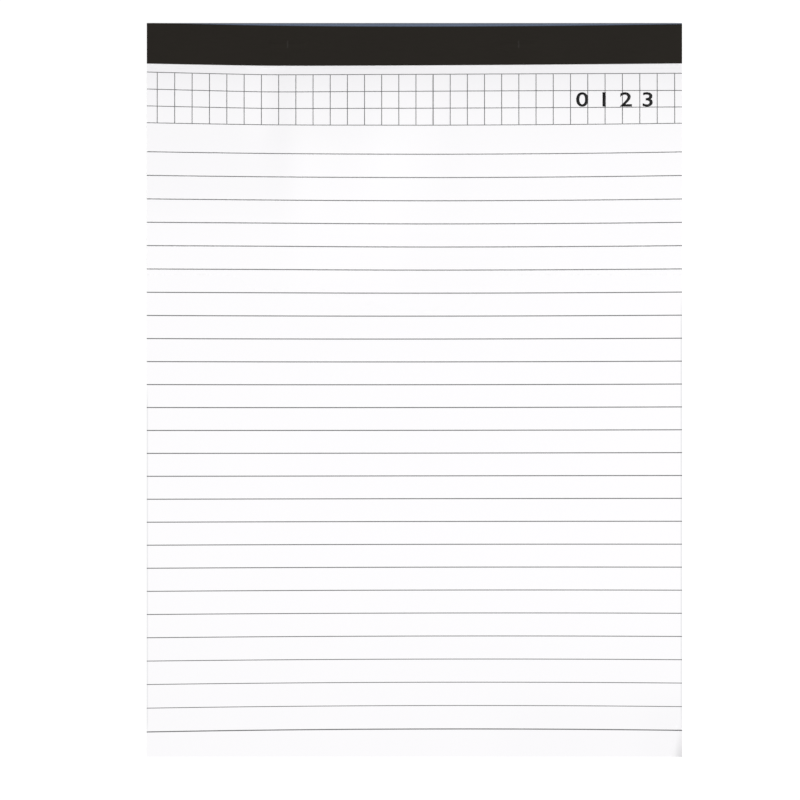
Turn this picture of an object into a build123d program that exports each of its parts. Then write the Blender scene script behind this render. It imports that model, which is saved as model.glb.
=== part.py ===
"""A tear-off memo pad: ruled sheets on a backing board, stitched and taped at the head.

X runs across the page, Y runs up the page to the head and Z up from the table.
The origin is the centre of the underside. Sizes are in millimetres.
"""

import os
from math import asin, degrees, hypot

from build123d import *

# Page, as trimmed
page_width = 186.0
page_height = 255.0

# Block of sheets
sheet_count = 50
sheet_thickness = 0.1
head_roll_radius = 1.2
swell_height = 0.5
swell_length = 26.0

# Backing board
board_thickness = 1.0
board_head_radius = 0.3

# Binding tape
tape_width = 35.0
tape_thickness = 0.15
front_lap = 14.5

# Perforation below the tape
perforation_gap = 1.2
perforation_pitch = 1.5
slit_length = 1.1
slit_width = 0.12

# Wire stitches under the tape
wire_thickness = 0.45
wire_width = 0.7
wire_clearance = 0.04
stitch_crown = 12.5
stitch_clinch = 4.2
stitch_bend_radius = 0.7
stitch_inset = 7.5
stitch_spacing = 80.6
stitch_shift = -3.6

# Print on the top sheet
ink_thickness = 0.04
rule_count = 26
rule_pitch = 8.0
rule_top_inset = 45.4
rule_width = 0.3
last_rule_width = 0.36
squares_across = 30
squares_down = 3
square_width = 6.0
square_height = 5.9
grid_top_inset = 17.6
grid_left_inset = 3.35
grid_line_width = 0.25

# Lifted corner at the foot, on the right
lifted_sheets = 3
corner_side_reach = 7.4
corner_foot_reach = 3.8
corner_lift = 0.9
corner_gap = 0.06
corner_overrun_share = 1.1

# Overrun of cuts past a surface
overrun = 1.0

# Levels and edges worked out from the sizes above
half_width = page_width / 2
head_y = page_height / 2
foot_y = -page_height / 2
block_head_y = head_y - tape_thickness
lap_y = head_y - front_lap
board_top = board_thickness
head_top = board_top + sheet_count * sheet_thickness
loose_top = head_top + swell_height
swell_end_y = lap_y - swell_length
spine_height = head_top + tape_thickness
back_lap = tape_width - front_lap - spine_height
back_lap_y = head_y - back_lap
perforation_y = lap_y - perforation_gap
slit_count = int((page_width - slit_length) / perforation_pitch)


def swell_curve(rise):
    """Draws the top sheet's edge from the foot to the tape, raised by rise, in the YZ plane."""
    start = (lap_y, head_top + rise)
    middle = ((lap_y + swell_end_y) / 2, (head_top + loose_top) / 2 + rise)
    end = (swell_end_y, loose_top + rise)
    Line((foot_y, loose_top + rise), end)
    TangentArc(end, middle, tangent=(1, 0))
    TangentArc(start, middle, tangent=(-1, 0))


def stitch_section(centre_x, play):
    """Draws one stitch of flat wire in the XZ plane, grown by play for the bed that it lies in."""
    low = tape_thickness + wire_clearance + wire_thickness / 2
    high = head_top - wire_clearance - wire_thickness / 2
    leg = (stitch_crown - wire_thickness) / 2
    tip = leg - stitch_clinch - play
    with BuildLine() as centre_line:
        FilletPolyline(
            (centre_x - tip, low),
            (centre_x - leg, low),
            (centre_x - leg, high),
            (centre_x + leg, high),
            (centre_x + leg, low),
            (centre_x + tip, low),
            radius=stitch_bend_radius,
        )
    trace(centre_line.line, line_width=wire_thickness + 2 * play)


def corner_outline():
    """Draws the corner of the page beyond the fold line, as a triangle in the XY plane."""
    Polygon(
        (half_width, foot_y + corner_side_reach),
        (half_width - corner_foot_reach, foot_y),
        (half_width, foot_y),
        align=None,
    )


stitch_y = head_y - stitch_inset
stitch_places = {
    "left": stitch_shift - stitch_spacing / 2,
    "right": stitch_shift + stitch_spacing / 2,
}
stitch_plane = Plane.XZ.offset(-stitch_y)

# Lifted corner: the fold line across it, and the cylinder that the sheets follow there
fold_length = hypot(corner_side_reach, corner_foot_reach)
fold_distance = corner_side_reach * corner_foot_reach / fold_length
curl_radius = (fold_distance**2 + corner_lift**2) / (2 * corner_lift)
curl_angle = degrees(asin(min(1, corner_overrun_share * fold_distance / curl_radius)))
lifted_thickness = lifted_sheets * sheet_thickness
fold_side = Vector(half_width, foot_y + corner_side_reach, loose_top)
fold_foot = Vector(half_width - corner_foot_reach, foot_y, loose_top)
fold_middle = (fold_side + fold_foot) * 0.5
fold_plane = Plane(
    origin=fold_middle,
    x_dir=Vector(corner_side_reach, -corner_foot_reach, 0),
    z_dir=Vector(-corner_foot_reach, -corner_side_reach, 0),
)

os.makedirs("parts", exist_ok=True)

# The lifted sheets: a slab bent to the cylinder, trimmed to the corner of the page
with BuildPart() as corner_flap:
    with BuildSketch(fold_plane):
        with BuildLine():
            inner = CenterArc((0, curl_radius), curl_radius, -90, curl_angle)
            outer = CenterArc((0, curl_radius), curl_radius + lifted_thickness, -90, curl_angle)
            Line(inner @ 0, outer @ 0)
            Line(inner @ 1, outer @ 1)
        make_face()
    extrude(amount=fold_length, both=True)
    with BuildSketch(Plane.XY.offset(board_top)):
        corner_outline()
    extrude(amount=loose_top + corner_lift + overrun, mode=Mode.INTERSECT)

# Sheets: one block, pressed thin under the tape and looser below it
with BuildPart() as sheets:
    with BuildSketch(Plane.YZ.offset(-half_width)):
        with BuildLine():
            swell_curve(0)
            Polyline(
                (lap_y, head_top),
                (block_head_y, head_top),
                (block_head_y, board_top),
                (foot_y, board_top),
                (foot_y, loose_top),
            )
        make_face()
        rolled_corner = vertices().group_by(Axis.X)[-1].sort_by(Axis.Y)[-1]
        fillet(rolled_corner, radius=head_roll_radius)
    extrude(amount=page_width)
    # The corner under the lifted sheets is left free
    with BuildSketch(Plane.XY.offset(loose_top)):
        corner_outline()
    extrude(amount=-(lifted_thickness + corner_gap), mode=Mode.SUBTRACT)
    add(corner_flap.part)
    # Perforation: short slits through every sheet, with uncut ties between them
    with BuildSketch(Plane.XY.offset(board_top)):
        with Locations((0, perforation_y)):
            with GridLocations(perforation_pitch, 0, slit_count, 1):
                Rectangle(slit_length, slit_width)
    extrude(amount=loose_top, mode=Mode.SUBTRACT)
    # Beds of the stitches: a groove pressed by each crown, and the holes of its legs
    with BuildSketch(stitch_plane):
        for x in stitch_places.values():
            stitch_section(x, wire_clearance)
    extrude(amount=wire_width / 2 + wire_clearance, both=True, mode=Mode.SUBTRACT)

sheets.part.label = "sheets"
export_step(sheets.part, "parts/sheets.step")

# Backing board: the page's outline in stiff grey board, nipped thinner where the tape is pressed flush
with BuildPart() as backing_board:
    with BuildSketch(Plane.YZ.offset(-half_width)):
        with BuildLine():
            Polyline(
                (foot_y, 0),
                (back_lap_y, 0),
                (back_lap_y, tape_thickness),
                (block_head_y, tape_thickness),
                (block_head_y, board_top),
                (foot_y, board_top),
                close=True,
            )
        make_face()
        turned_corner = vertices().group_by(Axis.X)[-1].sort_by(Axis.Y)[0]
        fillet(turned_corner, radius=board_head_radius)
    extrude(amount=page_width)
    # The legs come through here, and their clinched ends lie in grooves in the underside
    with BuildSketch(stitch_plane):
        for x in stitch_places.values():
            stitch_section(x, wire_clearance)
    extrude(amount=wire_width / 2 + wire_clearance, both=True, mode=Mode.SUBTRACT)

backing_board.part.label = "backing_board"
export_step(backing_board.part, "parts/backing_board.step")

# Head tape: one strip folded over the head, of even thickness all the way round
with BuildPart() as head_tape:
    with BuildSketch(Plane.YZ.offset(-half_width)):
        with BuildLine():
            inside = FilletPolyline(
                (lap_y, head_top),
                (block_head_y, head_top),
                (block_head_y, tape_thickness),
                (back_lap_y, tape_thickness),
                radius=[head_roll_radius, board_head_radius],
            )
            outside = FilletPolyline(
                (lap_y, head_top + tape_thickness),
                (head_y, head_top + tape_thickness),
                (head_y, 0),
                (back_lap_y, 0),
                radius=[head_roll_radius + tape_thickness, board_head_radius + tape_thickness],
            )
            Line(inside @ 0, outside @ 0)
            Line(inside @ 1, outside @ 1)
        make_face()
    extrude(amount=page_width)

head_tape.part.label = "head_tape"
export_step(head_tape.part, "parts/head_tape.step")

# Wire stitches: crown on the sheets, legs through to the back, clinched flat under the board
for side, x in stitch_places.items():
    with BuildPart() as stitch:
        with BuildSketch(stitch_plane):
            stitch_section(x, 0)
        extrude(amount=wire_width / 2, both=True)
    stitch.part.label = f"stitch_{side}"
    export_step(stitch.part, f"parts/stitch_{side}.step")

# Ink film: the skin over the top sheet that the printed lines are cut from
with BuildPart() as ink_film:
    with BuildSketch(Plane.YZ.offset(-half_width)):
        with BuildLine():
            swell_curve(0)
            swell_curve(ink_thickness)
            Line((foot_y, loose_top), (foot_y, loose_top + ink_thickness))
            Line((lap_y, head_top), (lap_y, head_top + ink_thickness))
        make_face()
    extrude(amount=page_width)

# Ruled lines: ink across the whole page, the last one a little heavier
with BuildPart() as ruled_lines:
    add(ink_film.part)
    with BuildSketch(Plane.XY.offset(head_top)):
        for number in range(rule_count):
            last = number == rule_count - 1
            with Locations((0, head_y - rule_top_inset - number * rule_pitch)):
                Rectangle(page_width, last_rule_width if last else rule_width)
    extrude(amount=swell_height + ink_thickness + overrun, mode=Mode.INTERSECT)

ruled_lines.part.label = "ruled_lines"
export_step(ruled_lines.part, "parts/ruled_lines.step")

# Header grid: four lines across the page, with uprights between the first and the last
grid_height = squares_down * square_height
grid_span = squares_across * square_width
grid_middle_x = grid_left_inset + grid_span / 2 - half_width
grid_middle_y = head_y - grid_top_inset - grid_height / 2
with BuildPart() as header_grid:
    add(ink_film.part)
    with BuildSketch(Plane.XY.offset(head_top)):
        with Locations((0, grid_middle_y)):
            with GridLocations(0, square_height, 1, squares_down + 1):
                Rectangle(page_width, grid_line_width)
        with Locations((grid_middle_x, grid_middle_y)):
            with GridLocations(square_width, 0, squares_across + 1, 1):
                Rectangle(grid_line_width, grid_height)
    extrude(amount=swell_height + ink_thickness + overrun, mode=Mode.INTERSECT)

header_grid.part.label = "header_grid"
export_step(header_grid.part, "parts/header_grid.step")
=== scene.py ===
# %% [markdown]
# # A tear-off memo pad
# The pad lies flat and is seen from straight above. It is a stack of ruled sheets on a stiff board, held by
# two wire stitches, with a black tape folded over its head. The CAD model of the same pad is loaded first.
# It stands still, and each piece that is modelled here takes its place from it, so both agree.

# %% Load the CAD model as the frame
import math
import random

import bpy
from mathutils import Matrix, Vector


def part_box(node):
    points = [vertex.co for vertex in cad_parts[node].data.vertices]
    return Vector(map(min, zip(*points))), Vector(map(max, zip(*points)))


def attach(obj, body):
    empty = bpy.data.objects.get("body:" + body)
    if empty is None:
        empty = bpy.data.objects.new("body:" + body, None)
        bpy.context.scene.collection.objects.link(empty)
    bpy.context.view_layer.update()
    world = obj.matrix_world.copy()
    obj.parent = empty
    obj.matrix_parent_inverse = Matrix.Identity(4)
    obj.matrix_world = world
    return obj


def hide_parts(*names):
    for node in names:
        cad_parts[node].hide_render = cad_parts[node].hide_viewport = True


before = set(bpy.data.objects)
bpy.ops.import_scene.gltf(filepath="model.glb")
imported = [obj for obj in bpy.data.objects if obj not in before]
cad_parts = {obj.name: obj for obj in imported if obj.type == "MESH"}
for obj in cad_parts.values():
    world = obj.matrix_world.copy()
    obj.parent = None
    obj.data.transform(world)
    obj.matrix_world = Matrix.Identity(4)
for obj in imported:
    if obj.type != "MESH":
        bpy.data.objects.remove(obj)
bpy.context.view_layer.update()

print("CAD nodes:", ", ".join(sorted(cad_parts)))

# %% [markdown]
# ## Sizes that the pieces share
# Blender works in metres, and a pad's sizes are easier to read in millimetres. So each length of the pad is
# in millimetres, and becomes metres only where Blender takes it. The outer places are read from the boxes of
# the CAD pieces and not typed again, so a new piece can't drift away from the one that it stands for. The
# free part of the page begins where the front lap of the tape ends, and that place is called lap_y.

# %% Sizes in millimetres
MM = 0.001
half_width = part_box("backing_board")[1].x / MM
foot_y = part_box("backing_board")[0].y / MM
head_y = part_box("head_tape")[1].y / MM
tape_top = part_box("head_tape")[1].z / MM
board_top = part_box("backing_board")[1].z / MM
front_lap = 14.5
lap_y = head_y - front_lap
sheet_count = 50
sheet_thickness = 0.1
tape_thickness = 0.15
head_top = tape_top - tape_thickness
print(f"page {2 * half_width:.1f} by {head_y - foot_y:.1f} mm, front lap ends at {lap_y:.2f} mm")

# %% [markdown]
# ## Modifiers, one at a time
# An operator acts on everything that is selected, so the first tool clears the selection and takes only the
# pieces that it is given. The second adds a modifier and applies it at once. Solidify gives a surface the
# thickness of the real sheet, and smoothing by angle keeps a cut edge crisp where a curve runs into it.

# %% Tools that select and finish
def pick(*pieces):
    """Selects these pieces and nothing else, and makes the first one active."""
    bpy.ops.object.select_all(action="DESELECT")
    for piece in pieces:
        piece.select_set(True)
    bpy.context.view_layer.objects.active = pieces[0]


def finish_with(piece, kind, **settings):
    """Adds a modifier with these settings and applies it."""
    pick(piece)
    modifier = piece.modifiers.new(kind.title(), kind)
    for name, value in settings.items():
        setattr(modifier, name, value)
    bpy.ops.object.modifier_apply(modifier=modifier.name)


def thicken(piece, thickness):
    """Gives a surface its thickness, on its underside."""
    finish_with(piece, "SOLIDIFY", thickness=thickness * MM, offset=-1, use_even_offset=True)


def soften(piece, angle=35):
    """Shades curves smooth and keeps cut edges sharp."""
    pick(piece)
    bpy.ops.object.shade_smooth_by_angle(angle=math.radians(angle))


def report(piece):
    """Prints how many faces a piece has and the box that it fills."""
    low = [min(point.co[axis] for point in piece.data.vertices) / MM for axis in range(3)]
    high = [max(point.co[axis] for point in piece.data.vertices) / MM for axis in range(3)]
    spans = ", ".join(f"{a:.2f} to {b:.2f}" for a, b in zip(low, high))
    print(f"{piece.name}: {len(piece.data.polygons)} faces, {spans} mm")


print("tools for modifiers ready")

# %% [markdown]
# ## Paper starts flat
# Sheets and tape are flat before they are folded, so each piece starts as a flat grid. Its lines are slid to
# where the real piece bends or is cut, close together there and far apart where it stays flat. Then a
# function carries every point to its place. A cloth simulation could bend the paper too, but it would take
# longer and never come to rest at the same place as the print on it.

# %% Tools that cut and bend a sheet
def cut_flat(name, columns, rows):
    """Makes a flat grid with its lines at the given millimetres, columns across and rows up the page."""
    bpy.ops.object.select_all(action="DESELECT")
    across, up = len(columns) - 1, len(rows) - 1
    bpy.ops.mesh.primitive_grid_add(x_subdivisions=across, y_subdivisions=up, size=2)
    piece = bpy.context.object
    piece.name = piece.data.name = name
    for point in piece.data.vertices:
        column = round((point.co.x + 1) / 2 * across)
        row = round((point.co.y + 1) / 2 * up)
        point.co = Vector((columns[column], rows[row], 0)) * MM
    return piece


def bend(piece, place):
    """Moves each point of a flat piece to the place that place(x, y) gives for it, in millimetres."""
    for point in piece.data.vertices:
        point.co = Vector(place(point.co.x / MM, point.co.y / MM)) * MM
    piece.data.update()


def steps(start, end, count):
    """Evenly spaced values from start to end, both included."""
    return [start + (end - start) * number / count for number in range(count + 1)]


print("tools for sheets ready, a half in two steps:", steps(0, 0.5, 2))

# %% [markdown]
# ## How high the page stands
# The stitches press the sheets flat under the tape. Below it they are free and rise again, quickly at first
# and then ever more gently, as a bent sheet does. Glue and damp also leave soft cockles at the head: a sharp
# valley left of the middle, a low ridge and a shallow dip, which fade down the page. A displacement texture
# could do this, but a function of the place is easier to aim, and the print can be laid on the very same
# surface, so that ink never leaves the paper.

# %% Swell and cockles
perforation_gap = 1.2
perforation_y = lap_y - perforation_gap
swell_height = 0.5
swell_reach = 14.0
cockles = {
    "valley": {"x": -50.5, "breadth": 6.5, "below_tape": 0, "length": 28, "height": -0.36},
    "ridge": {"x": -15, "breadth": 12, "below_tape": 24, "length": 26, "height": 0.24},
    "dip": {"x": 8, "breadth": 9, "below_tape": 24, "length": 26, "height": -0.11},
}


def bell(distance, breadth):
    """1 at the middle and falling smoothly to 0 on both sides."""
    return math.exp(-((distance / breadth) ** 2))


def swell(y):
    """Share of the full rise that a sheet has reached at y, from 0 at the perforation to nearly 1."""
    return 1 - math.exp(-max(0.0, perforation_y - y) / swell_reach)


def cockle(x, y):
    """Height of the soft waves at the head of the page."""
    height = 0.0
    for wave in cockles.values():
        down = lap_y - y - wave["below_tape"]
        height += wave["height"] * bell(x - wave["x"], wave["breadth"]) * bell(down, wave["length"])
    return height * swell(y) ** 0.25


for down in (0, 5, 15, 40, 120):
    print(f"{down:4d} mm below the tape the sheet has {swell(lap_y - down):.0%} of its rise")

# %% [markdown]
# ## The lifted corner
# At the foot, on the right, the upper sheets have been thumbed and the corner stands up. Paper bends in one
# direction only, so beyond a straight fold line the sheet follows a cylinder. Its radius comes from two
# things that one can see: how far the tip is from the fold line and how high it stands.

# %% Corner and level of a sheet
corner_side_reach = 12.8
corner_foot_reach = 3.6
corner_lift = 0.65
fold_length = math.hypot(corner_side_reach, corner_foot_reach)
fold_distance = corner_side_reach * corner_foot_reach / fold_length
curl_radius = (fold_distance**2 + corner_lift**2) / (2 * corner_lift)


def corner(x, y):
    """Height that the lifted corner adds: beyond the fold line the sheet follows a cylinder."""
    right = x - half_width
    up = y - foot_y - corner_side_reach
    beyond = (right * corner_side_reach - up * corner_foot_reach) / fold_length
    if beyond <= 0:
        return 0.0
    return curl_radius - math.sqrt(curl_radius**2 - min(beyond, fold_distance) ** 2)


pressed_gap = 0.006
looseness = 0.045
lift_shares = (1, 0.72, 0.45)


def page_level(x, y, order=0):
    """Height of the face of a sheet: order 0 is the first sheet, 1 and 2 are the ones below it."""
    rise = (swell_height - looseness * order) * swell(y)
    waves = (1 - order / 3) * cockle(x, y)
    pressed = head_top - pressed_gap - order * sheet_thickness
    return pressed + rise + waves + corner(x, y) * lift_shares[order]


tip_lift = page_level(half_width, foot_y) - page_level(0, foot_y)
print(f"the tip stands {tip_lift:.2f} mm above the page, on a curl of {curl_radius:.1f} mm radius")

# %% [markdown]
# ## Where the first sheet needs its lines
# A row of slits below the tape lets a sheet be torn off. A toothed rule presses them through the real one,
# and here they become real holes as well. So two of the grid's columns stand at the ends of each slit, and
# two of its rows at the slit's sides. Rows are also close together where the sheet bends and at the corner.

# %% Lines of the first sheet's grid
slit_pitch = 1.5
slit_length = 1.1
slit_width = 0.12
slits_aside = int((half_width - slit_length / 2) / slit_pitch)
slit_places = [slit_pitch * number for number in range(-slits_aside, slits_aside + 1)]
page_edge = half_width - 0.02
page_foot = foot_y - 0.03
head_roll = 1.75
roll_y = head_y - tape_thickness - head_roll
stitch_boxes = [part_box("stitch_left"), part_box("stitch_right")]
stitch_y = (stitch_boxes[0][0].y + stitch_boxes[0][1].y) / 2 / MM

columns = [-page_edge]
for place in slit_places:
    columns += [place - slit_length / 2, place + slit_length / 2]
columns += [page_edge]
slit_rows = [perforation_y + slit_width / 2, perforation_y - slit_width / 2]
bend_end_y = lap_y - 40
corner_start_y = foot_y + 14
bend_rows = steps(perforation_y - 0.5, bend_end_y, 30)
page_rows = steps(bend_end_y - 4, corner_start_y + 4, 24)
corner_rows = steps(corner_start_y, page_foot, 16)
rows = sorted([roll_y, stitch_y, lap_y, *slit_rows, *bend_rows, *page_rows, *corner_rows])
print(f"{len(slit_places)} slits of {slit_length} mm, {len(columns)} columns and {len(rows)} rows")

# %% [markdown]
# ## The first sheet, with its perforation
# The faces between those lines are picked by their middles and deleted, which leaves clean open slits with
# uncut ties between them. A Boolean would cut the same holes but leave long thin faces around them. The
# sheet is bent while it has no thickness, so its two faces stay parallel everywhere.

# %% First sheet
first_sheet = cut_flat("first_sheet", columns, rows)
pick(first_sheet)
bpy.ops.object.mode_set(mode="EDIT")
bpy.ops.mesh.select_mode(type="FACE")
bpy.ops.mesh.select_all(action="DESELECT")
bpy.ops.object.mode_set(mode="OBJECT")
for face in first_sheet.data.polygons:
    x, y = face.center.x / MM, face.center.y / MM
    in_slit = abs(x / slit_pitch - round(x / slit_pitch)) * slit_pitch < slit_length / 2
    between_rows = abs(y - perforation_y) < slit_width / 2
    face.select = between_rows and in_slit and abs(x) < slit_places[-1] + slit_length / 2
bpy.ops.object.mode_set(mode="EDIT")
bpy.ops.mesh.delete(type="FACE")
bpy.ops.object.mode_set(mode="OBJECT")
bend(first_sheet, lambda x, y: (x, y, page_level(x, y)))
thicken(first_sheet, sheet_thickness)
soften(first_sheet)
report(first_sheet)

# %% [markdown]
# ## The two sheets below it
# A corner is thumbed several sheets deep. The second and third sheet lift with the first, each a little
# less, so the corner fans out. Through the first sheet's slits one sees only white paper, so these two need
# none, and their grids can be coarser. Each also lies a hair out of line, as loose sheets do.

# %% Second and third sheet
shifts = random.Random(11)
widest_shift = 0.05
coarse_end_x = page_edge - 6
fine_start_x = page_edge - 5.2
plain_columns = steps(-page_edge, coarse_end_x, 60) + steps(fine_start_x, page_edge, 7)
plain_rows = [row for row in rows if row not in slit_rows]
lower_sheets = []
for order, name in ((1, "second_sheet"), (2, "third_sheet")):
    sheet = cut_flat(name, plain_columns, plain_rows)
    slide_x = shifts.uniform(-widest_shift, widest_shift)
    slide_y = shifts.uniform(0.0, widest_shift)
    bend(sheet, lambda x, y: (x + slide_x, y + slide_y, page_level(x, y, order)))
    thicken(sheet, sheet_thickness)
    soften(sheet)
    report(sheet)
    lower_sheets.append(sheet)

# %% [markdown]
# ## How the stack opens
# A stack that is pressed at its head doesn't open evenly below. Most sheets stay close together and a few
# let air in. So each gap is a random share raised to the fourth power, which makes most of them tiny and a
# few wide. At the head the sheets end on a curve, since the tape is drawn round them.

# %% How the stack opens
block_count = sheet_count - 3
block_looseness = 0.14
block_swell = swell_height - block_looseness
openings = random.Random(5)
gaps = [openings.random() ** 4 for number in range(block_count)]
rises = [sum(gaps[: number + 1]) / sum(gaps) * block_swell for number in range(block_count)]
roll_height = 1.5
head_clearance = 0.04


def head_edge(level):
    """Where a sheet ends at the head, following the roll of the tape's fold."""
    above = max(0.0, level - (head_top - roll_height)) / roll_height
    return head_y - tape_thickness - head_clearance - head_roll * (1 - math.sqrt(1 - above**2))


widest = max(gaps) / sum(gaps) * block_swell
print(f"widest opening {widest:.3f} mm, uppermost sheet ends at {head_edge(head_top):.2f} mm")

# %% [markdown]
# ## The rest of the block
# Forty-seven more sheets lie under the first three. They are what makes the pad look like paper from the
# side and not like a slab: each has its own edge, a hair in or out of line. An Array modifier would make
# them all alike. So one sheet is modelled and copied, each copy with its own mesh, and each copy is bent to
# its own height. Then they are joined, and one Solidify makes them sheets.

# %% Block of sheets
flat_end_y = lap_y - 60
bend_start_y = lap_y - 50
block_rows = steps(foot_y, flat_end_y, 4) + steps(bend_start_y, perforation_y, 12) + [roll_y]
wave_columns = [-64, -57, -52, -49, -44, -37, -28, -22, -15, -8, -2, 4, 12, 22, 40]
hair = 0.004
widest_inset = 0.08
widest_slide = 0.09
cockle_share = 0.25
pattern = cut_flat("sheet_block", [-half_width, *wave_columns, half_width], block_rows)
edges = random.Random(23)
copies = []
for number in range(block_count):
    copy = pattern.copy()
    copy.data = pattern.data.copy()
    bpy.context.collection.objects.link(copy)
    level = board_top + (number + 1) * sheet_thickness
    inset = edges.uniform(0.0, widest_inset)
    slide_x = inset * edges.uniform(-1, 1)
    slide_y = edges.uniform(0, widest_slide)

    def place(x, y):
        out = x / half_width * (half_width - inset) + slide_x
        if y > lap_y:
            return out, head_edge(level), level - 2 * hair
        wave = cockle_share * cockle(x, y) * ((number + 1) / block_count) ** 2
        return out, y + slide_y * (y < foot_y + 1), level - 2 * hair + rises[number] * swell(y) + wave

    bend(copy, place)
    copies.append(copy)
bpy.data.objects.remove(pattern)
pick(*copies)
bpy.ops.object.join()
sheet_block = bpy.context.object
sheet_block.name = sheet_block.data.name = "sheet_block"
thicken(sheet_block, sheet_thickness - hair)
soften(sheet_block)
report(sheet_block)

# %% [markdown]
# ## Where the print lies
# The lines were printed straight, but the cockled sheet carries them, so seen from above they bow: up at
# both ends near the head, down at both ends near the foot, with a kink where the valley crosses them. One
# function moves a straight line's points to the bowed line, and every printed line goes through it. It adds
# what moves the whole line, what tilts it, what curves it, the kink, and the low waves further down.

# %% Bow of the printed lines
middle_y = -17.9
half_span = 100.0
kink_share = -0.56
kink_softness = 0.12
kink_height = 1.75
kink_below_tape = 8
kink_breadth = 11


def kink(y):
    """Strength of the kink at the valley, greatest just below the tape."""
    return kink_height * bell(lap_y - y - kink_below_tape, kink_breadth)


def bowed(x, y):
    """The height on the page at which a line printed at y is seen at x."""
    across = x / half_width
    down = (middle_y - y) / half_span
    near = max(-1.0, min(1.0, down))
    slip = -0.18 + 1.085 * near + 0.074 * near**2 - 0.868 * near**3
    lean = 0.124 + 0.156 * near - 0.68 * kink(y)
    bow = 0.056 - 0.463 * near - 0.336 * near**3 - 0.62 * kink(y)
    fold = math.hypot(across - kink_share, kink_softness) - math.hypot(kink_share, kink_softness)
    upper_wave = (0.045 + 0.16 * bell(x + 54, 36)) * bell(y - 52, 18)
    foot_wave = -0.08 * bell(y + 118, 9)
    waves = upper_wave + foot_wave
    return y + slip + lean * across + bow * across**2 + kink(y) * fold + waves


print(f"first rule: {bowed(-93, 82.1):.2f} left, {bowed(0, 82.1):.2f} middle, {bowed(93, 82.1):.2f} right")

# %% [markdown]
# ## How a line is printed
# Ink is a colour and could be painted by a material, but lines this thin would blur in a baked picture. So
# each line is a strip of its own, a few hundredths of a millimetre above the sheet, and stays sharp from any
# distance. A flat strip is cut, bent with the page, and given its thickness.

# %% Tools that print a line
ink_thickness = 0.03
ink_gap = 0.006
ink_inset = 0.02


def printed_piece(name, strips):
    """Joins strips of ink into one piece that lies on the first sheet."""
    pick(*strips)
    if len(strips) > 1:
        bpy.ops.object.join()
    piece = bpy.context.object
    piece.name = piece.data.name = name
    thicken(piece, ink_thickness)
    report(piece)
    return piece


def ink_level(x, y):
    """Height of the upper face of the ink."""
    return page_level(x, y) + ink_thickness + ink_gap


def line_across(y, width):
    """A printed line from edge to edge of the page."""
    end = page_edge - ink_inset
    strip = cut_flat("line", steps(-end, end, 110), [-width / 2, width / 2])

    def place(x, aside):
        on_page = bowed(x, y) + aside
        return x, on_page, ink_level(x, on_page)

    bend(strip, place)
    return strip


print("printing tools ready")

# %% [markdown]
# ## Ruled lines
# Twenty-six lines, 8 mm apart, run from edge to edge of the page. The plate printed a little fuller in the
# upper middle of the page than at its ends, and the last line is drawn heavier. All of them come from the
# same tool, so only the place and the width change from line to line.

# %% Ruled lines
rule_count = 26
rule_pitch = 8.0
first_rule_y = head_y - 45.4
rule_width = 0.3
last_rule_width = 0.36
fullest_rule = 10
most_ink = 1.07
ink_loss = 0.28
fading_rules = 14
rules = []
for number in range(rule_count):
    fullness = most_ink - ink_loss * ((number - fullest_rule) / fading_rules) ** 2
    width = last_rule_width if number == rule_count - 1 else rule_width * fullness
    rules.append(line_across(first_rule_y - number * rule_pitch, width))
ruled_lines = printed_piece("rules", rules)

# %% [markdown]
# ## Squares of the header
# The header is three rows of squares: four lines from edge to edge, and 31 uprights between the first and
# the last. The uprights stand a hair further apart towards the sides, where the cockles don't draw the sheet
# together, and the one beside the middle is printed heavier than the rest.

# %% Header grid
grid_line_width = 0.25
square_height = 5.9
heavy_upright = 16
heaviness = 1.35
grid_top = head_y - 17.6
grid_foot = grid_top - 3 * square_height
grid_middle_x = 0.535
grid_half_span = 89.27
grid_spread = 0.614
grid_lines = [line_across(grid_top - number * square_height, grid_line_width) for number in range(4)]
for number in range(31):
    share = (number - 15) / 15
    upright_x = grid_middle_x + grid_half_span * share + grid_spread * share**3
    side = grid_line_width / 2
    if number == heavy_upright:
        side *= heaviness
    strip = cut_flat("line", [upright_x - side, upright_x + side], steps(0, 1, 24))
    top = bowed(upright_x, grid_top) - side
    low = bowed(upright_x, grid_foot) + side

    def place(x, along):
        y = low + (top - low) * along
        return x, y, ink_level(x, y)

    bend(strip, place)
    grid_lines.append(strip)
header_grid = printed_piece("squares", grid_lines)

# %% [markdown]
# ## A number in the header
# A pad of this kind can carry a plain number at the right end of its header. A text object is the natural
# start, since Blender has a typeface of its own. Each digit becomes a mesh at once, so that its points can
# be laid on the page as the points of the lines are.

# %% Number in the header
digit_height = 4.9
digit_widening = 1.3
digit_pitch = 7.6
number_middle_x = 69.7
number_foot_y = 98.45
digits = []
for place_in_row, digit in enumerate("0123"):
    bpy.ops.object.select_all(action="DESELECT")
    bpy.ops.object.text_add()
    text = bpy.context.object
    text.data.body = digit
    text.data.align_x = "CENTER"
    text.data.resolution_u = 6
    text.data.offset = 0.012
    bpy.ops.object.convert(target="MESH")
    glyph = bpy.context.object
    tall = max(point.co.y for point in glyph.data.vertices)
    middle = number_middle_x + (place_in_row - 1.5) * digit_pitch
    for point in glyph.data.vertices:
        x = middle + point.co.x / tall * digit_height * digit_widening
        y = number_foot_y + point.co.y / tall * digit_height
        point.co = Vector((x, y, ink_level(x, y) + hair)) * MM
    digits.append(glyph)
header_number = printed_piece("header_number", digits)

# %% [markdown]
# ## Edges of the tape
# The fold isn't a machine's: its upper crease bows, so that a sliver of the spine shows from above, widest
# in the middle, and the edge of the front lap wavers with the paper. Over each stitch the tape stands up a
# little where the wire lies under it. Each of these is a small function of the place along the head.

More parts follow.
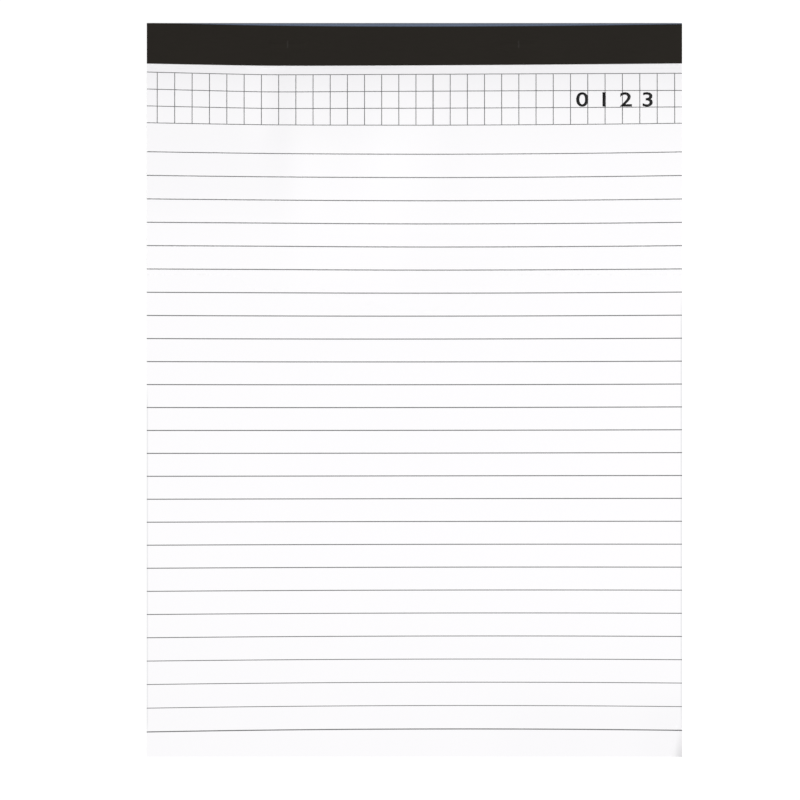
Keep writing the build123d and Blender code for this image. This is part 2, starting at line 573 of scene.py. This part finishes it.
# %% Edges of the tape
crease_drop = 1.6
crease_bow = 1.3
crease_skew = 0.3
least_drop = 0.12
edge_lean = 0.19
stitch_places = [(low.x + high.x) / 2 / MM for low, high in stitch_boxes]
crown_half = 5.6
crown_fade = 0.6
bulge_height = 0.07
bulge_breadth = 0.75


def crease_y(x):
    """Where the front lap turns down into the spine, furthest from the head in the middle."""
    across = x / half_width
    return head_y - max(least_drop, crease_drop - crease_bow * across**2 + crease_skew * across**3)


def tape_edge_y(x):
    """The lower edge of the front lap."""
    return bowed(x, lap_y) + edge_lean * x / half_width


def over_stitch(x, y):
    """Height of the bulge over a stitch's wire."""
    past_crown = max(0.0, min(abs(x - place) for place in stitch_places) - crown_half)
    return bulge_height * bell(y - stitch_y, bulge_breadth) * bell(past_crown, crown_fade)


print("stitches at", ", ".join(f"{place:.1f}" for place in stitch_places), "mm across")

# %% [markdown]
# ## The way of the tape round the head
# The tape lies on the front, turns over the head, runs down the spine and lies on the back. One function
# gives this whole way, from 0 at the front edge to 4 at the back edge, so a flat strip can follow it. From 3
# on it first goes round the lower edge of the board, which takes a quarter of that last stretch.

# %% Outline of the fold
spine_drop = 0.9
foot_round = 0.45
foot_turn = 0.25
back_lap = 14.2
back_lap_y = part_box("backing_board")[1].y / MM - back_lap


def tape_path(x, along):
    """A point on the tape's outer face, along being 0 at the front edge and 4 at the back edge."""
    crease = crease_y(x)
    if along <= 1:
        y = tape_edge_y(x) + (crease - tape_edge_y(x)) * along
        return x, y, tape_top + over_stitch(x, y)
    if along <= 2:
        turn = along - 1
        reach = head_y - crease
        y = crease + reach * (1.5 * turn - 0.5 * turn**2)
        return x, y, tape_top - spine_drop * (0.5 * turn + 0.5 * turn**2)
    low = tape_top - spine_drop
    if along <= 3:
        return x, head_y, low + (foot_round - low) * (along - 2)
    turn = min(1.0, (along - 3) / foot_turn)
    angle = turn * math.pi / 2
    y = head_y - foot_round + foot_round * math.cos(angle)
    z = foot_round - foot_round * math.sin(angle)
    if along > 3 + foot_turn:
        y -= (y - back_lap_y) * (along - 3 - foot_turn) / (1 - foot_turn)
    return x, y, z


for along in (0, 1, 2, 3, 4):
    x, y, z = tape_path(0, along)
    print(f"the tape at {along}: y {y:.2f}, z {z:.2f} mm")

# %% [markdown]
# ## The tape over the head
# On the bench the tape is a flat strip, as long as the page is wide, and it is made the same way here: a
# flat grid whose rows are carried along that outline. A swept profile would be quicker, but it would be the
# same all the way across. The rows are close together at the folds and over the stitches.

# %% Head tape
front_rows = steps(0, 0.4, 8) + steps(0.42, 0.68, 26) + steps(0.72, 1, 6)
fold_rows = steps(1, 2, 10)[1:] + steps(2, 3, 8)[1:] + steps(3, 3 + foot_turn, 6)[1:]
back_rows = steps(3 + foot_turn, 4, 6)[1:]
tape_columns = steps(-half_width, half_width, 248)
glue_gap = 0.01
head_tape = cut_flat("binding_tape", tape_columns, front_rows + fold_rows + back_rows)
bend(head_tape, tape_path)
thicken(head_tape, tape_thickness - glue_gap)
soften(head_tape, 50)
report(head_tape)

# %% [markdown]
# ## Materials: a small language for nodes
# A material is a net of nodes. Placing them one by one hides what they do, so a socket is wrapped in a small
# class here, and Python's own signs add the Math nodes: `1 - mask * 0.5` is an expression that one can read.
# Every pattern reads Object coordinates, in millimetres, so it stays on its piece from any view.

# %% A socket with signs
class Reading:
    """A socket that gives numbers. Signs between readings and numbers add Math nodes."""

    def __init__(self, net, socket):
        self.net = net
        self.socket = socket

    def math(self, operation, *others):
        """Adds a Math node that reads this socket first and then the others."""
        return self.net.node("ShaderNodeMath", {"operation": operation}, dict(enumerate((self, *others))))

    def __add__(self, other):
        return self.math("ADD", other)

    def __sub__(self, other):
        return self.math("SUBTRACT", other)

    def __rsub__(self, other):
        return self.net.node("ShaderNodeMath", {"operation": "SUBTRACT"}, {0: other, 1: self})

    def __mul__(self, other):
        return self.math("MULTIPLY", other)

    __radd__ = __add__
    __rmul__ = __mul__


print("signs ready: + - *")

# %% [markdown]
# ## One method for every node
# It takes the kind of the node, its settings and what goes into its sockets, in that order, because some
# settings change which sockets there are. It gives back one output, ready to be used in an expression.

# %% A net of nodes
class Net:
    """A material's nodes and the links between them."""

    def __init__(self, name):
        self.material = bpy.data.materials.new(name)
        self.material.use_nodes = True
        self.tree = self.material.node_tree
        self.tree.nodes.clear()

    def node(self, kind, settings=None, inputs=None, output=0):
        """Makes a node and gives back one of its outputs, if it has any."""
        made = self.tree.nodes.new(kind)
        for name, value in (settings or {}).items():
            setattr(made, name, value)
        for name, value in (inputs or {}).items():
            self.join(value, made.inputs[name])
        return Reading(self, made.outputs[output]) if made.outputs else None

    def join(self, value, socket):
        """Links a reading to a socket, or writes a constant on it."""
        if isinstance(value, Reading):
            self.tree.links.new(value.socket, socket)
        else:
            socket.default_value = value


print("nodes can be made")

# %% [markdown]
# ## A finish and its patterns
# Every finish is one Principled surface and the place on the piece in millimetres. The patterns that they
# share are methods: noise, cells, a smooth ramp, a stretch with a soft start and a soft end, a mix of two
# colours, and a bump.

# %% A finish
class Finish(Net):
    """A material that is being made, with the place on its piece ready to read in millimetres."""

    def __init__(self, name, rough, gloss):
        super().__init__(name)
        surface = self.node("ShaderNodeBsdfPrincipled")
        self.shader = surface.socket.node
        self.node("ShaderNodeOutputMaterial", {}, {0: surface})
        self.set(Roughness=rough, Specular_IOR_Level=gloss)
        here = self.node("ShaderNodeTexCoord", output="Object")
        self.place = self.node("ShaderNodeVectorMath", {"operation": "SCALE"}, {0: here, "Scale": 1 / MM})
        self.x, self.y, self.z = (
            self.node("ShaderNodeSeparateXYZ", {}, {0: self.place}, axis) for axis in "XYZ"
        )

    def set(self, **inputs):
        """Links or writes sockets of the surface, a space in a name being written as a low line."""
        for name, value in inputs.items():
            self.join(value, self.shader.inputs[name.replace("_", " ")])

    def noise(self, size, detail=2.0, stretch=(1, 1, 1), roughness=0.5):
        """Soft noise from 0 to 1 whose patches are about size millimetres wide."""
        place = self.node("ShaderNodeVectorMath", {"operation": "MULTIPLY"}, {0: self.place, 1: stretch})
        inputs = {"Vector": place, "Scale": 1 / size, "Detail": detail, "Roughness": roughness}
        return self.node("ShaderNodeTexNoise", {}, inputs)

    def cells(self, size):
        """Distance to the nearest of scattered places that are about size millimetres apart."""
        inputs = {"Vector": self.place, "Scale": 1 / size, "Randomness": 1.0}
        return self.node("ShaderNodeTexVoronoi", {}, inputs, "Distance")

    def ramp(self, value, low, high):
        """Turns value smoothly from 0 at low to 1 at high."""
        inputs = {"Value": value, "From Min": low, "From Max": high}
        return self.node("ShaderNodeMapRange", {"interpolation_type": "SMOOTHSTEP"}, inputs)

    def between(self, value, start, full, fade, end):
        """1 where value is between full and fade, falling smoothly to 0 at start and at end."""
        return self.ramp(value, start, full) * self.ramp(value, end, fade)

    def mix(self, share, colour, other):
        """Mixes two colours, share being how much of the other one there is."""
        inputs = {0: share, 6: colour, 7: other}
        return self.node("ShaderNodeMix", {"data_type": "RGBA"}, inputs, output=2)

    def bump(self, height, strength, depth):
        """Raises the surface's shading by height, depth being its full height in millimetres."""
        inputs = {"Height": height, "Strength": strength, "Distance": depth * MM}
        self.set(Normal=self.node("ShaderNodeBump", {}, inputs))

    def on(self, *pieces):
        """Puts the material on pieces, in place of what they had."""
        for piece in pieces:
            piece.data.materials.clear()
            piece.data.materials.append(self.material)
        names = ", ".join(piece.name for piece in pieces)
        print(f"{self.material.name}: {len(self.tree.nodes)} nodes, on {names}")


def rgb(red, green, blue):
    return (red, green, blue, 1.0)


print("finishes can be mixed")

# %% [markdown]
# ## Paper
# White writing paper isn't a flat white. It has a fine tooth from its fibres, soft clouds where the pulp is
# thicker, and a cool, faintly lavender cast from its brightener. Painted shade makes it greyer just below
# the tape, where the sheets slope up from it, and again towards the foot. All of these are readings of the
# place on the page, added up into one shade.

# %% Paper
paper = Finish("writing_paper", 0.86, 0.25)
clouds = paper.noise(38, 3.0)
pulp = paper.noise(1.1, 4.0)
fibres = paper.noise(0.16, 3.0, (0.45, 1, 1))
# Painted shade: below the tape, where the sheets slope up from it, and towards the foot.
slope_shade_reach = 13.0
painted_slope_shade = ((paper.y - lap_y) * (1 / slope_shade_reach)).math("EXPONENT").math("MINIMUM", 1.0)
painted_foot_shade = paper.ramp(paper.y, -50, -127)
shade = painted_slope_shade * 0.8 + painted_foot_shade * 0.18 + clouds * 0.08 + pulp * 0.05
paper.bump(pulp * 0.5 + fibres, 0.12, 0.012)
print(f"the grey below the tape falls to a third every {1.1 * slope_shade_reach:.0f} mm")

# %% [markdown]
# ## Painted shade and highlight on the page
# Painted shade darkens the page a hair at two places: on the left of the head, where the valley's shade
# reaches further, and on the right of the foot, where the light falls off. Between the valley and the dip a
# painted highlight lightens the ridge. Along stretches of both side edges runs a thin line of painted shade.
# Each is a mask, 1 inside and 0 outside, and the product of two masks leaves what lies inside both.

# %% Painted shade and highlight
# Painted shade at the head's left and at the foot's right, and a painted highlight on the ridge.
painted_head_shade = paper.between(paper.y, 52, 72, 82, 108) * paper.ramp(paper.x, -36, -48)
painted_foot_corner_shade = paper.ramp(paper.x, 15, 45) + paper.ramp(paper.x, 72, 86)
painted_foot_corner_shade = painted_foot_corner_shade * paper.ramp(paper.y, -99, -117)
painted_ridge_highlight = paper.between(paper.y, 24, 44, 80, 92) * paper.between(paper.x, -48, -36, -14, 4)
shade = shade + painted_head_shade * 0.16 + painted_foot_corner_shade * 0.1 - painted_ridge_highlight * 0.08
# A thin line of painted shade along each side edge.
painted_left_edge_shade = paper.ramp(paper.x, 0.65 - half_width, 0.25 - half_width)
painted_left_edge_shade = painted_left_edge_shade * paper.between(paper.y, -121, -114, -8, 3)
painted_right_edge_shade = paper.ramp(paper.x, half_width - 0.75, half_width - 0.35)
painted_right_edge_shade = painted_right_edge_shade * paper.between(paper.y, -123, -110, 20, 36)
# The grey mixed in is painted shade, less under the painted highlight; its clouds and pulp are the paper's
# own tone.
colour = paper.mix(shade, rgb(0.978, 0.966, 0.977), rgb(0.848, 0.838, 0.854))
# This darker grey along the side edges is painted shade.
colour = paper.mix((painted_left_edge_shade + painted_right_edge_shade) * 0.8, colour, rgb(0.78, 0.78, 0.795))
paper.set(Base_Color=colour, Roughness=fibres * 0.08 + 0.82)
paper.on(first_sheet, *lower_sheets)

# %% [markdown]
# ## Cut edges of the block
# Of the other sheets only the cut edges show. They are painted duller than a page, as painted shade for the
# edges of the stack, with fine streaks along the sheets and a little dust. So the noise is stretched along
# the sheets and kept short across them, and it also feeds the bump.

# %% Paper of the block
block_paper = Finish("block_paper", 0.88, 0.25)
streaks = block_paper.noise(0.5, 3.0, (0.05, 0.05, 2.5))
bands = block_paper.noise(0.9, 2.0, (0.02, 0.02, 1.0))
dust = block_paper.noise(9, 2.0)
edge_shade = block_paper.ramp(streaks * 0.5 + bands * 0.35 + dust * 0.15, 0.33, 0.67)
# Both greys are painted shade, darker than the page; the streaks and dust that vary them are the edges' own
# tone.
edge_colour = block_paper.mix(edge_shade, rgb(0.80, 0.795, 0.80), rgb(0.57, 0.565, 0.57))
block_paper.set(Base_Color=edge_colour)
block_paper.bump(streaks, 0.2, 0.01)
block_paper.on(sheet_block)

# %% [markdown]
# ## Ink
# The ruling is printed in thin neutral grey ink. It is never quite even: it takes a little more on one
# stretch of the line than on the next, so a coarse and a fine noise are mixed. The number is full black.

# %% Ink
ink = Finish("ruling_ink", 0.8, 0.2)
density = ink.noise(6.0, 2.0) * 0.7 + ink.noise(0.4, 2.0) * 0.3
ink.set(Base_Color=ink.mix(density, rgb(0.10, 0.10, 0.104), rgb(0.21, 0.21, 0.215)))
ink.on(ruled_lines, header_grid)

black_ink = Finish("heading_ink", 0.7, 0.2)
black_density = black_ink.noise(0.5, 3.0)
black_ink.set(Base_Color=black_ink.mix(black_density, rgb(0.006, 0.006, 0.006), rgb(0.02, 0.02, 0.021)))
black_ink.on(header_number)

# %% [markdown]
# ## Tape
# Black paper tape has a dull, slightly warm face with fine fibres along its length. Where it turns into the
# spine a blue-grey sliver is painted on it, a painted reflection of cool light on the rounded fold. The
# painted reflection is a mask: full at the turn, ragged on the side of the spine, and only at the head.

# %% Tape
tape = Finish("black_tape", 0.82, 0.12)
tape_fibres = tape.noise(0.35, 4.0, (0.12, 1, 1))
tape_crepe = tape.noise(0.9, 3.0)
tape_clouds = tape.noise(22, 2.0)
# Heights of the painted reflection on the rounded fold.
reflection_top = tape_top - 0.01
reflection_full = tape_top - 0.16
reflection_fading = 5.8
reflection_low = 5.2
ragged_z = tape.z + tape_crepe * 0.5 + tape_clouds * 0.5
painted_fold_reflection = tape.ramp(tape.z, reflection_top, reflection_full) * tape.ramp(ragged_z, reflection_low, reflection_fading)
painted_fold_reflection = painted_fold_reflection * tape.ramp(tape.y, 120.0, 122.0) * tape.ramp(tape.x, -95.0, -62.0)
painted_fold_reflection = painted_fold_reflection * (0.7 + tape_crepe * 0.35 + tape_clouds * 0.2)
black = tape.mix(
    tape_fibres * 0.7 + tape_clouds * 0.3, rgb(0.0132, 0.0110, 0.0084), rgb(0.0205, 0.0176, 0.0143)
)
# The blue-grey mixed in here is a painted reflection, not a colour of the tape.
black = tape.mix(painted_fold_reflection, black, rgb(0.150, 0.185, 0.262))
tape.bump(tape_fibres * 0.6 + tape_crepe * 0.4, 0.25, 0.03)
print(f"the rubbing starts at a height of {reflection_top:.2f} mm and is full at {reflection_full:.2f} mm")

# %% [markdown]
# ## Scuffs over the stitches
# The tape stands up a little over the middle of each stitch, and takes the first knocks there. So each has
# one short scuff up the page, only on the front. Painting them on a picture would be quick, but a mask needs
# no picture: how far a point is from the scuff's middle says how much of it there is. Each fade below is
# the distance at which nothing is left, and then the one up to which the scuff is full.

# %% Scuffs
scuff_places = (-43.85, 36.45)
fade_across = (0.32, 0.12)
fade_along = (1.5, 1.0)
for place in scuff_places:
    aside = (tape.x + tape_crepe * 0.5 - place).math("ABSOLUTE")
    along = (tape.y - stitch_y).math("ABSOLUTE")
    scuff = tape.ramp(aside, *fade_across) * tape.ramp(along, *fade_along)
    scuff = scuff * tape.ramp(tape.z, 3.0, 4.0)
    black = tape.mix(scuff * (0.1 + tape_crepe * 0.7), black, rgb(0.042, 0.039, 0.036))
tape.set(Base_Color=black, Roughness=tape_fibres * 0.12 + 0.76)
tape.on(head_tape)

# %% [markdown]
# ## Board
# The back is grey chipboard, pressed from waste paper: mottled, with darker and lighter flecks. Its shape is
# right in the CAD model, so the CAD piece stays and only gets this finish in its material slot. Noise alone
# makes clouds. The flecks come from Voronoi cells, whose distance is small only near their middles.

# %% Board
board = Finish("chipboard", 0.9, 0.2)
mottle = board.noise(5.0, 4.0)
grit = board.noise(0.45, 5.0, roughness=0.65)
dark_fleck_spacing = 2.381
pale_fleck_spacing = 3.704
dark_flecks = 1 - board.ramp(board.cells(dark_fleck_spacing) + grit * 0.35, 0.24, 0.42)
pale_flecks = 1 - board.ramp(board.cells(pale_fleck_spacing) + mottle * 0.3, 0.22, 0.36)
base = board.mix(mottle * 0.6 + grit * 0.4, rgb(0.30, 0.275, 0.245), rgb(0.50, 0.47, 0.43))
base = board.mix(dark_flecks * 0.6, base, rgb(0.13, 0.12, 0.11))
board.set(Base_Color=board.mix(pale_flecks * 0.45, base, rgb(0.70, 0.68, 0.64)))
board.bump(grit * 0.7 + mottle * 0.3, 0.35, 0.05)
board.on(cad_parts["backing_board"])

# %% [markdown]
# ## Wire
# The stitches are drawn steel wire, clinched flat against the board. Drawing leaves fine lines along the
# wire, and the clinching dulls it.

# %% Wire
wire = Finish("stitch_wire", 0.35, 0.5)
drawn = wire.noise(0.08, 3.0, (0.08, 1, 1))
tarnish = wire.noise(1.6, 3.0)
wire.set(Metallic=1.0, Base_Color=wire.mix(tarnish, rgb(0.66, 0.65, 0.63), rgb(0.45, 0.44, 0.43)))
wire.set(Roughness=drawn * 0.25 + tarnish * 0.1 + 0.2)
wire.bump(drawn, 0.3, 0.01)
wire.on(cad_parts["stitch_left"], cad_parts["stitch_right"])

# %% [markdown]
# ## Every piece rides on the pad
# A pad has no joints, so there is one body. Each new piece rides on it, and the CAD piece that it stands
# for is hidden.

# %% Riding and replacing
for piece in (first_sheet, *lower_sheets, sheet_block):
    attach(piece, "root")
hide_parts("sheets")
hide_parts("sheets")
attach(head_tape, "root")
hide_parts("head_tape")
for piece in (ruled_lines, header_grid, header_number):
    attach(piece, "root")
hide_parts("ruled_lines")
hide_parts("header_grid")
print("kept from the CAD model: backing_board, stitch_left, stitch_right")

# %% [markdown]
# ## Floor
# The photograph is a product shot on pure white, without a shadow. Studios get that from a light table,
# whose glass top glows as white as the paper. So the floor gives its own light and takes little of the
# lamp's. It lies a fifth of a millimetre below the board, so that the two never fight for the same place.

# %% Floor
floor_gap = 0.2
bpy.ops.object.select_all(action="DESELECT")
bpy.ops.mesh.primitive_plane_add(size=60, location=(0, 0, -floor_gap * MM))
floor = bpy.context.object
floor.name = "light_table"
table_top = Finish("table_top", 0.9, 0.0)
table_top.set(Base_Color=rgb(0.1, 0.1, 0.1), Emission_Color=rgb(1, 1, 1), Emission_Strength=0.975)
table_top.on(floor)

# %% [markdown]
# ## Light
# One large softbox, far away and half-way up, stands towards the foot and the right. Far away, because its
# light then falls evenly on the whole page, and from the side, because only slanting light draws cockles
# and a lifted corner. A pale sky fills the rest.

# %% Light
world = bpy.data.worlds.new("studio")
bpy.context.scene.world = world
world.use_nodes = True
sky = world.node_tree.nodes["Background"]
sky.inputs["Color"].default_value = rgb(0.98, 0.99, 1.0)
sky.inputs["Strength"].default_value = 0.3


def softbox(name, azimuth, elevation, distance, size, power):
    """A square area light that looks at the pad, azimuth 0 being to the right and 90 beyond the head."""
    turn, rise = math.radians(azimuth), math.radians(elevation)
    flat = math.cos(rise) * distance
    place = Vector((math.cos(turn) * flat, math.sin(turn) * flat, math.sin(rise) * distance))
    bpy.ops.object.light_add(type="AREA", location=place)
    light = bpy.context.object
    light.name = name
    light.rotation_euler = (-place).to_track_quat("-Z", "Y").to_euler()
    light.data.size = size
    light.data.energy = power
    return light


key = softbox("key", azimuth=-28, elevation=45, distance=20.0, size=9.0, power=4350)
print(f"{key.name}: {key.data.energy:.0f} W over {key.data.size:.0f} m, {key.location.length:.0f} m away")

# %% [markdown]
# ## Camera
# The camera looks straight down, which is how a new camera stands in Blender, so it needs no turn. A long
# lens from about a metre keeps the sides of the block out of sight. The distance follows from how much of
# the page the frame shows, so the lens can be changed without a new framing.

# %% Camera
height_in_view = 277.87
view_middle = Vector((-5.02, -3.58, 6.5))
lens = 135.0
sensor = 36.0
bpy.ops.object.select_all(action="DESELECT")
bpy.ops.object.camera_add(location=(view_middle + Vector((0, 0, height_in_view * lens / sensor))) * MM)
camera = bpy.context.object
camera.name = "camera"
camera.data.lens = lens
camera.data.sensor_width = sensor
camera.data.clip_start = 0.01
camera.data.clip_end = 20.0
bpy.context.scene.camera = camera
bpy.context.scene.view_settings.view_transform = "Standard"
print(f"camera {camera.location.z:.3f} m above the table, lens {lens:.0f} mm")
